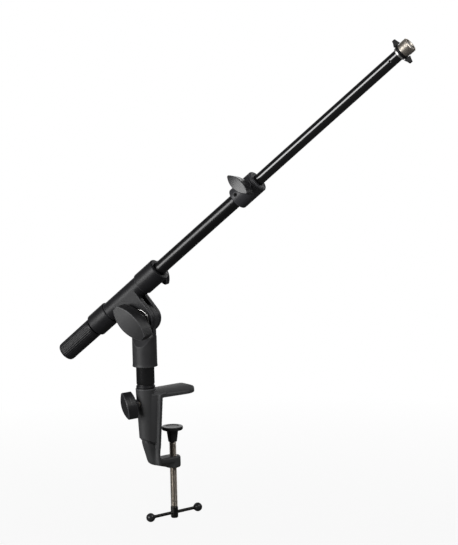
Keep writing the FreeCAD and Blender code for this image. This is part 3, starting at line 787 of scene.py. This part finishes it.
def leaf_knob(node, voxel, rounds, finish=None):
    """Leaf-shaped knob with its parting line."""
    place = knob_frame(node)
    knob = extent(node, place)
    parting = knob.low + PARTING_PLACE * (knob.high - knob.low)
    mesh = softened(node, voxel, rounds, knob_relief(place, parting))
    add_piece(node + "_moulded", mesh, node, "knob_plastic", [node], finish)


def knob_stud(knob):
    """Threaded stud of a knob, with a chamfer at its tip."""
    node = knob + "_stud"
    place = knob_frame(knob)
    stud = extent(node, place)
    chamfer = 0.6 * MM
    run_in = stud.low + 0.3 * MM
    corners = [
        (0, stud.low), (stud.radius - chamfer, stud.low, CRISP), (stud.radius, stud.low + chamfer),
        (stud.radius, stud.high), (0, stud.high),
    ]
    relief = helix(STUD_PITCH, STUD_DEPTH, run_in, stud.high, stud.radius)
    mesh = turned(place, corners, closed=False, sides=ROD_SIDES, step=THREAD_STEP, relief=relief)
    add_piece(node + "_threaded", mesh, knob, "zinc_steel", [node])


# Post and pivot

POST_STEP = 5 * MM
SLEEVE_VOXEL = 0.4 * MM
SLEEVE_ROUNDS = 4


def post_tube():
    """Post tube with eased ends."""
    tube = extent("post_tube", POST)
    foot_easing = 0.7 * MM
    corners = [
        (tube.bore, tube.low, CRISP), (tube.radius, tube.low, foot_easing),
        (tube.radius, tube.high, BLUNT), (tube.bore, tube.high, CRISP),
    ]
    mesh = turned(POST, corners, step=POST_STEP)
    add_piece("post_tube_painted", mesh, "post", "gloss_black_tube", ["post_tube"], "post_tube_paint")


def pivot_sleeve():
    """Sleeve on the post with the tongue of the tilt joint."""
    mesh = softened("pivot_base", SLEEVE_VOXEL, SLEEVE_ROUNDS)
    # The sleeve's finish is the charcoal plastic painted lighter, as painted fill light
    add_piece("pivot_sleeve", mesh, "post", "charcoal_plastic", ["pivot_base"], "sleeve_plastic")


def flat_ring(node, name, body, slot, easing, finish=None):
    """Washer with eased edges."""
    ring = extent(node, PIVOT)
    corners = [(ring.bore, ring.low, easing), (ring.radius, ring.low, easing),
               (ring.radius, ring.high, easing), (ring.bore, ring.high, easing)]
    add_piece(name, turned(PIVOT, corners), body, slot, [node], finish)


# Boom holder

HOLDER_VOXEL = 0.4 * MM
HOLDER_ROUNDS = 6
HOLDER_EXTRA = 6
HOLDER_CLEAR = 1.0 * MM
BOLT_VOXEL = 0.25 * MM
BOLT_ROUNDS = 3
COLLAR_SEAT = 10.02 * MM
COLLAR_DEPTH = 8.0 * MM


def holder():
    """T-piece that is rounder on its ears than near the boom, and its bolt."""
    inverse = BOOM.inverted()
    clear = extent("front_collar", BOOM).radius + HOLDER_CLEAR

    def ears(point):
        return (inverse @ point).xy.length > clear
    mesh = softened("boom_holder", HOLDER_VOXEL, HOLDER_ROUNDS, None, ears, HOLDER_EXTRA)
    add_piece("holder_moulded", mesh, "holder", "charcoal_plastic", ["boom_holder"])
    mesh = softened("pivot_bolt", BOLT_VOXEL, BOLT_ROUNDS)
    add_piece("pivot_bolt_plated", mesh, "holder", "zinc_steel", ["pivot_bolt"])


def collar(node, free_side):
    """Collar with a rounded mouth, an eased foot and a seat for the holder's spigot."""
    ring = extent(node, BOOM)
    rim, bore = ring.radius, ring.bore
    foot, mouth = (ring.low, ring.high) if free_side > 0 else (ring.high, ring.low)
    foot_chamfer, bore_chamfer = 0.5 * MM, 0.9 * MM
    shoulder, shoulder_easing = 0.4 * MM, 1.3 * MM
    mouth_rim = rim - 1.8 * MM
    seat_end = foot + free_side * COLLAR_DEPTH
    corners = [
        (COLLAR_SEAT, foot), (rim - foot_chamfer, foot, CRISP), (rim, foot + free_side * foot_chamfer, EASED),
        (rim, mouth - free_side * shoulder, shoulder_easing), (mouth_rim, mouth, SOFT),
        (bore + bore_chamfer, mouth, EASED), (bore, mouth - free_side * bore_chamfer, EASED),
        (bore, seat_end), (COLLAR_SEAT, seat_end),
    ]
    add_piece(node + "_moulded", turned(BOOM, corners), "holder", "charcoal_plastic", [node])


# Boom

RIB_COUNT = 32
RIB_SIDES = 12
RIB_STEP = 1.0 * MM
RIB_DEPTH = 0.24 * MM
RIB_START = 1.2 * MM
RIB_FADE_IN = 2 * MM
RIB_FADE_OUT = 0.5 * MM
GRIP_BORE = 7.52 * MM
GRIP_WALL = 5.0 * MM
GRIP_LIP = 2.2 * MM


def ribbed_grip():
    """Closed end grip with lengthwise ribs between its round end and its plain lip."""
    grip = extent("rear_grip", BOOM)
    outside = grip.radius - 1.2 * MM
    lip = grip.high - GRIP_LIP
    wall = grip.low + GRIP_WALL
    end_radius, end_easing = grip.radius - 0.2 * MM, 3.2 * MM
    chamfer = 0.3 * MM

    def ribs(angle, height, reach):
        if reach < outside:
            return reach
        fade = min(held((height - grip.low - RIB_START) / RIB_FADE_IN), held((lip - height) / RIB_FADE_OUT))
        wave = 0.5 - 0.5 * math.cos(RIB_COUNT * angle)
        return reach - RIB_DEPTH * fade * wave ** 2
    corners = [
        (0, grip.low), (end_radius, grip.low, end_easing), (grip.radius, grip.high - chamfer, EASED),
        (grip.radius - chamfer, grip.high, CRISP), (GRIP_BORE, grip.high), (GRIP_BORE, wall), (0, wall),
    ]
    mesh = turned(BOOM, corners, closed=False, sides=RIB_SIDES * RIB_COUNT, step=RIB_STEP, relief=ribs)
    add_piece("grip_ribbed", mesh, "boom_outer", "ribbed_rubber", ["rear_grip"])


TUBE_EASING = 0.25 * MM
TUBE_STEP = 6 * MM


def boom_tube(node, name, body, finish=None, rows=(), relief=None):
    """Painted tube with eased ends. rows are extra heights at which a relief needs points."""
    tube = extent(node, BOOM)
    corners = [(tube.bore, tube.low, TUBE_EASING), (tube.radius, tube.low, TUBE_EASING)]
    corners += [(tube.radius, height) for height in rows]
    corners += [(tube.radius, tube.high, TUBE_EASING), (tube.bore, tube.high, TUBE_EASING)]
    mesh = turned(BOOM, corners, step=TUBE_STEP, relief=relief)
    add_piece(name, mesh, body, "gloss_black_tube", [node], finish)


CRIMP_FROM_END = 10.0 * MM
CRIMP_RADIUS = 1.0 * MM
CRIMP_REACH = 2.0 * MM
CRIMP_DEPTH = 0.70 * MM
CRIMP_STEEPNESS = 2
CRIMP_TURN = math.radians(91)
CRIMP_SPACING = 2 * math.pi / 3
CRIMP_ROWS = 8


def crimped():
    """Rows and relief of the three punched dimples that hold the threaded end in the inner tube."""
    tube = extent("inner_tube", BOOM)
    middle = tube.high - CRIMP_FROM_END

    def relief(angle, height, reach):
        if reach < tube.radius - CRIMP_DEPTH:
            return reach
        around = (angle - CRIMP_TURN + CRIMP_SPACING / 2) % CRIMP_SPACING - CRIMP_SPACING / 2
        away = math.hypot(around * tube.radius, height - middle)
        return reach - CRIMP_DEPTH * math.exp(-(away / CRIMP_RADIUS) ** 2 * CRIMP_STEEPNESS)
    rows = [middle + CRIMP_REACH * row / CRIMP_ROWS for row in range(-CRIMP_ROWS, CRIMP_ROWS + 1)]
    return rows, relief


CLUTCH_VOXEL = 0.3 * MM
CLUTCH_ROUNDS = 8
CLUTCH_RADIUS = 12.25 * MM
CLUTCH_BAND = 3.4 * MM
CLUTCH_GROOVE = 0.5 * MM
GROOVE_WIDTH = 0.35 * MM
GROOVE_REACH = 0.3 * MM


def clutch():
    """Clutch with a fine groove behind its mouth, and its bush, whose lip is level with the mouth."""
    mouth = extent("clutch_body", BOOM).high
    inverse = BOOM.inverted()

    def band(point, normal):
        local = inverse @ point
        on_barrel = abs(local.xy.length - CLUTCH_RADIUS) <= GROOVE_REACH
        if not on_barrel or abs(normal.dot(BOOM_ALONG)) > SQUARE_ON:
            return 0
        return -CLUTCH_GROOVE * ridge(local.z - mouth + CLUTCH_BAND, GROOVE_WIDTH)
    mesh = softened("clutch_body", CLUTCH_VOXEL, CLUTCH_ROUNDS, band)
    add_piece("clutch_moulded", mesh, "boom_outer", "charcoal_plastic", ["clutch_body"], "clutch_plastic")
    bush = extent("clutch_bush", BOOM)
    lip = mouth - 0.15 * MM
    lead, lead_depth = bush.bore + 0.4 * MM, lip - 0.5 * MM
    corners = [
        (bush.bore, bush.low), (bush.radius, bush.low), (bush.radius, lip, CRISP), (lead, lip, EASED),
        (bush.bore, lead_depth, CRISP),
    ]
    add_piece("clutch_bush_turned", turned(BOOM, corners), "boom_outer", "nylon", ["clutch_bush"],
              "clutch_plastic")


SOCKET_RADIUS = 1.0 * MM
SOCKET_DEPTH = 1.4 * MM
SOCKET_CONE = 1.8 * MM
SOCKET_MARGIN = 1.01
HEX_SIDE = math.pi / 3


def grub_screw():
    """Set screw with a hexagon socket."""
    low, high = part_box("clutch_grub_screw")
    place = place_on((low + high) / 2, JOINTS["clutch_knob_turn"]["axis"], BOOM_ALONG)
    screw = extent("clutch_grub_screw", place)
    chamfer = 0.3 * MM

    def hexagon(angle, height, reach):
        if reach < SOCKET_RADIUS / 2 or reach > SOCKET_RADIUS * SOCKET_MARGIN:
            return reach
        corner = (angle + HEX_SIDE / 2) % HEX_SIDE - HEX_SIDE / 2
        return reach / math.cos(corner)
    corners = [
        (0, screw.low), (screw.radius - chamfer, screw.low), (screw.radius, screw.low + chamfer),
        (screw.radius, screw.high, EASED), (SOCKET_RADIUS, screw.high),
        (SOCKET_RADIUS, screw.high - SOCKET_DEPTH), (0, screw.high - SOCKET_CONE),
    ]
    mesh = turned(place, corners, closed=False, sides=ROD_SIDES, relief=hexagon)
    add_piece("grub_screw_socket", mesh, "boom_outer", "black_steel", ["clutch_grub_screw"], "oxide_steel")


NUT_RECESS = 0.9 * MM
NEAR_RIM = 0.1 * MM
STUD_THREAD = 4.76 * MM
STUD_THREAD_PITCH = INCH / 16
STUD_THREAD_DEPTH = 0.8 * MM
STUD_THREAD_STEP = 0.15 * MM


def rim_heights(node, rim):
    """Heights along the boom of a node's outermost points."""
    return [point.z for point in local_points(node, BOOM) if point.xy.length > rim - NEAR_RIM]


def threaded_end():
    """End piece of the inner tube: spigot, flange and thread."""
    stud = extent("thread_stud", BOOM)
    tube = extent("inner_tube", BOOM)
    spigot = tube.bore - 0.02 * MM
    face = max(rim_heights("thread_stud", stud.radius)) + NUT_RECESS
    back_rim, back_edge = stud.radius - 0.3 * MM, tube.high + 0.4 * MM
    face_chamfer, tip_chamfer = 0.5 * MM, 0.8 * MM
    corners = [
        (0, stud.low), (spigot, stud.low, BLUNT), (spigot, tube.high), (back_rim, tube.high, CRISP),
        (stud.radius, back_edge, EASED), (stud.radius, face - face_chamfer, BLUNT),
        (stud.radius - face_chamfer, face, CRISP), (STUD_THREAD, face),
        (STUD_THREAD, stud.high - tip_chamfer), (STUD_THREAD - tip_chamfer, stud.high), (0, stud.high),
    ]
    run_in = face + 0.2 * MM
    relief = helix(STUD_THREAD_PITCH, STUD_THREAD_DEPTH, run_in, stud.high, STUD_THREAD)
    mesh = turned(BOOM, corners, closed=False, step=STUD_THREAD_STEP, relief=relief)
    add_piece("thread_stud_turned", mesh, "boom_inner", "zinc_steel", ["thread_stud"], "bright_steel")


NUT_VOXEL = 0.2 * MM
NUT_ROUNDS = 5
RING_RADIUS = 8.6 * MM
RING_BLEND = 2.4 * MM


def winged_nut():
    """Lock nut whose ring is set back between the wings, where it seats on the flange."""
    mesh = softened("lock_nut", NUT_VOXEL, NUT_ROUNDS)
    inverse = BOOM.inverted()
    points = [inverse @ vertex.co for vertex in mesh.vertices]
    ring = [point.z for point in points if point.xy.length < RING_RADIUS]
    rear, front = min(ring), max(ring)
    for vertex, point in zip(mesh.vertices, points):
        share = held((RING_RADIUS + RING_BLEND - point.xy.length) / RING_BLEND)
        depth = held((front - point.z) / (front - rear))
        vertex.co += BOOM_ALONG * NUT_RECESS * share * depth
    add_piece("lock_nut_moulded", mesh, "lock_nut", "knob_plastic", ["lock_nut"], "nut_plastic")


ADAPTER_SIDES = 128
ADAPTER_STEP = 0.1 * MM
ADAPTER_EDGE = 0.7 * MM
ADAPTER_EASING = 0.15 * MM
ADAPTER_PITCH = INCH / 27
ADAPTER_DEPTH = 0.14 * MM
NECK_DROP = 0.44 * MM
TURNING_PITCH = 0.6 * MM
TURNING_DEPTH = 0.10 * MM
SLOT_WIDTH = 2.0 * MM
SLOT_DEPTH = 2.2 * MM


def adapter():
    """Adapter with a turned neck, an outer thread and a slot across its end."""
    low, high, bore, radius = extent("thread_adapter", BOOM)
    edge = ADAPTER_EDGE
    neck = radius - NECK_DROP
    start = min(rim_heights("thread_adapter", radius))
    thread_foot = start + 0.3 * MM
    run_in, run_out = start + 0.2 * MM, high - 0.2 * MM
    turning_end = start - 0.1 * MM
    corners = [
        (bore + edge, low), (neck - edge, low, ADAPTER_EASING), (neck, low + edge, CRISP),
        (neck, start, CRISP), (radius, thread_foot, CRISP), (radius, high - edge),
        (radius - edge, high, ADAPTER_EASING), (bore + edge, high, ADAPTER_EASING), (bore, high - edge),
        (bore, low + edge),
    ]
    thread = helix(ADAPTER_PITCH, ADAPTER_DEPTH, run_in, run_out, radius)
    turning = helix(TURNING_PITCH, TURNING_DEPTH, low + edge, turning_end, neck)

    def relief(angle, height, reach):
        cut = turning if height < start else thread
        return cut(angle, height, reach)
    mesh = turned(BOOM, corners, sides=ADAPTER_SIDES, step=ADAPTER_STEP, relief=relief)
    slot_low = Vector((-2 * radius, -SLOT_WIDTH / 2, high - SLOT_DEPTH))
    slot_high = Vector((2 * radius, SLOT_WIDTH / 2, high + SLOT_DEPTH))
    mesh = cut_by(mesh, box_mesh(BOOM, slot_low, slot_high))
    add_piece("adapter_threaded", mesh, "thread_adapter", "nickel", ["thread_adapter"])


# Hidden pieces that stay as they are and only get their finish
KEPT = {
    "post_spigot": "zinc_steel",
    "pivot_knob_insert": "brass_insert",
    "inner_glide": "nylon",
}


def dress_kept():
    for node, slot in KEPT.items():
        mesh = NODES[node].data
        mesh.materials.clear()
        mesh.materials.append(FINISHES[slot])


LARGE_KNOB_VOXEL = 0.3 * MM
LARGE_KNOB_ROUNDS = 8
SMALL_KNOB_VOXEL = 0.22 * MM
SMALL_KNOB_ROUNDS = 9
FRICTION_EASING = 0.15 * MM
WASHER_EASING = 0.7 * MM


def build():
    clamp_casting()
    bush_ring()
    pad_disc()
    screw_and_boss()
    cross_bar()
    bar_ball(-1, "tommy_ball_left")
    bar_ball(1, "tommy_ball_right")
    # Its finish paints a darker face and a light highlight line along its edges
    leaf_knob("pivot_knob", LARGE_KNOB_VOXEL, LARGE_KNOB_ROUNDS, "pivot_knob_plastic")
    for knob in ("clamp_knob", "holder_knob", "clutch_knob"):
        leaf_knob(knob, SMALL_KNOB_VOXEL, SMALL_KNOB_ROUNDS)
        knob_stud(knob)
    post_tube()
    pivot_sleeve()
    for side in ("near", "far"):
        flat_ring("friction_washer_" + side, "friction_ring_" + side, "post", "nylon", FRICTION_EASING)
    holder()
    flat_ring("pivot_washer", "pivot_washer_plated", "holder", "zinc_steel", WASHER_EASING, "polished_steel")
    collar("rear_collar", -1)
    collar("front_collar", 1)
    boom_tube("outer_tube", "outer_tube_painted", "boom_outer")
    ribbed_grip()
    clutch()
    grub_screw()
    boom_tube("inner_tube", "inner_tube_painted", "boom_inner", "thin_tube_paint", *crimped())
    threaded_end()
    winged_nut()
    adapter()
    dress_kept()


# Floor, light and camera

CAMERA_PLACE = Vector((-1.123738, -1.545674, 0.394019))
CAMERA_TURN = [math.radians(angle) for angle in (82.205051, 1.220283, -38.185231)]
CAMERA_LENS = 115.993
SENSOR = 36.0
AIM = Vector((0.02, -0.10, 0.13))
LAMPS = {
    "key": dict(offset=(-3.0, 0.022, 0.503), along=(0, -0.732, 0.681), size=(2.0, 1.5), watts=79.0),
    "fill": dict(offset=(0.60, -1.68, 1.61), along=INTO_JAW, size=(1.2, 1.2), watts=23.0),
    "side": dict(offset=(2.6, 1.2, 0.55), along=UP, size=(0.9, 1.8), watts=7.5),
}
WHITE = (1, 1, 1, 1)
FLOOR_HALF = 60.0
FLOOR_NEAR = 0.35
FLOOR_FAR = 1.3
FLOOR_PALE = (0.40, 0.40, 0.40, 1)
FLOOR_GLOW = 0.75
FLOOR_INDIRECT = (0.15, 0.15, 0.15, 1)
AMBIENT = 0.08
# Cosine from the view's direction at which the backdrop starts and is full
BACKDROP_EDGE = (0.75, 0.9)


def camera():
    data = bpy.data.cameras.new("camera")
    data.lens = CAMERA_LENS
    data.sensor_width = SENSOR
    view = bpy.data.objects.new("camera", data)
    view.location = CAMERA_PLACE
    view.rotation_euler = CAMERA_TURN
    bpy.context.scene.collection.objects.link(view)
    bpy.context.scene.camera = view


def softbox(name, offset, along, size, watts):
    """Area lamp at an offset from the aim and turned to it, its first side along a direction."""
    data = bpy.data.lights.new(name, "AREA")
    data.shape = "RECTANGLE"
    data.size, data.size_y = size
    data.energy = watts
    lamp = bpy.data.objects.new(name, data)
    place = AIM + Vector(offset)
    lamp.matrix_world = place_on(place, place - AIM, along)
    bpy.context.scene.collection.objects.link(lamp)


def floor_level():
    """Lowest place at rest, or of the boom's head where the tilt joint ends."""
    turn = Matrix.Rotation(math.radians(JOINTS["boom_tilt"]["range_deg"][0]), 3, KNOB_SIDE)
    head = [vertex.co - PIVOT_POINT
            for node in ("lock_nut", "thread_adapter") for vertex in NODES[node].data.vertices]
    return min(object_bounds()[0].z, PIVOT_POINT.z + min((turn @ point).z for point in head))


def shader_node(tree, kind, **values):
    """New node with its steady values set."""
    node = tree.nodes.new("ShaderNode" + kind)
    for socket, value in values.items():
        node.inputs[socket].default_value = value
    return node


def blended(tree, share, first, second):
    """Shader that goes from the first to the second as a share goes from 0 to 1."""
    mix = tree.nodes.new("ShaderNodeMixShader")
    tree.links.new(share, mix.inputs[0])
    tree.links.new(first.outputs[0], mix.inputs[1])
    tree.links.new(second.outputs[0], mix.inputs[2])
    return mix


def floor_finish(level):
    """Pale floor. Seen directly it is part glow, which takes over with distance, and keeps a soft shadow."""
    material = bpy.data.materials.new("floor_pale")
    material.use_nodes = True
    tree = material.node_tree
    tree.nodes.clear()
    plain = shader_node(tree, "BsdfDiffuse", Color=FLOOR_PALE)
    glow = shader_node(tree, "Emission", Strength=FLOOR_GLOW)
    near = tree.nodes.new("ShaderNodeAddShader")
    tree.links.new(plain.outputs[0], near.inputs[0])
    tree.links.new(glow.outputs[0], near.inputs[1])
    where = tree.nodes.new("ShaderNodeTexCoord")
    away = tree.nodes.new("ShaderNodeVectorMath")
    away.operation = "DISTANCE"
    away.inputs[1].default_value = (AIM.x, AIM.y, level)
    tree.links.new(where.outputs["Object"], away.inputs[0])
    distance = ranged(tree, away.outputs["Value"], FLOOR_NEAR, FLOOR_FAR, 0, 1)
    seen = blended(tree, distance, near, shader_node(tree, "Emission"))
    path = tree.nodes.new("ShaderNodeLightPath")
    dull = shader_node(tree, "BsdfDiffuse", Color=FLOOR_INDIRECT)
    surface = blended(tree, path.outputs["Is Camera Ray"], dull, seen)
    output = tree.nodes.new("ShaderNodeOutputMaterial")
    tree.links.new(surface.outputs[0], output.inputs["Surface"])
    return material


def floor():
    """Wide floor under the part, which belongs to the stage."""
    level = floor_level()
    mesh = bpy.data.meshes.new("floor")
    corners = [(x * FLOOR_HALF, y * FLOOR_HALF, level) for x, y in ((-1, -1), (1, -1), (1, 1), (-1, 1))]
    mesh.from_pydata(corners, [], [(0, 1, 2, 3)])
    mesh.materials.append(floor_finish(level))
    plane = bpy.data.objects.new("floor", mesh)
    bpy.context.scene.collection.objects.link(plane)
    plane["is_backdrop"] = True


def world():
    """Dim grey surroundings that the camera, and mirrors turned to the backdrop, see as white."""
    scenery = bpy.data.worlds.new("studio")
    bpy.context.scene.world = scenery
    scenery.use_nodes = True
    tree = scenery.node_tree
    tree.nodes.clear()
    ambient = shader_node(tree, "Background", Color=WHITE, Strength=AMBIENT)
    white = shader_node(tree, "Background", Color=WHITE)
    path = tree.nodes.new("ShaderNodeLightPath")
    where = tree.nodes.new("ShaderNodeTexCoord")
    towards = tree.nodes.new("ShaderNodeVectorMath")
    towards.operation = "DOT_PRODUCT"
    towards.inputs[1].default_value = (AIM - CAMERA_PLACE).normalized()
    tree.links.new(where.outputs["Generated"], towards.inputs[0])
    backdrop = ranged(tree, towards.outputs["Value"], *BACKDROP_EDGE, 0, 1)
    mirrored = multiplied(tree, path.outputs["Is Glossy Ray"], backdrop)
    share = tree.nodes.new("ShaderNodeMath")
    share.operation = "MAXIMUM"
    tree.links.new(path.outputs["Is Camera Ray"], share.inputs[0])
    tree.links.new(mirrored, share.inputs[1])
    surface = blended(tree, share.outputs["Value"], ambient, white)
    output = tree.nodes.new("ShaderNodeOutputWorld")
    tree.links.new(surface.outputs[0], output.inputs["Surface"])


def studio():
    for name, lamp in LAMPS.items():
        softbox(name, **lamp)
    floor()
    world()
    camera()
    bpy.context.scene.view_settings.view_transform = "Standard"


build()
studio()
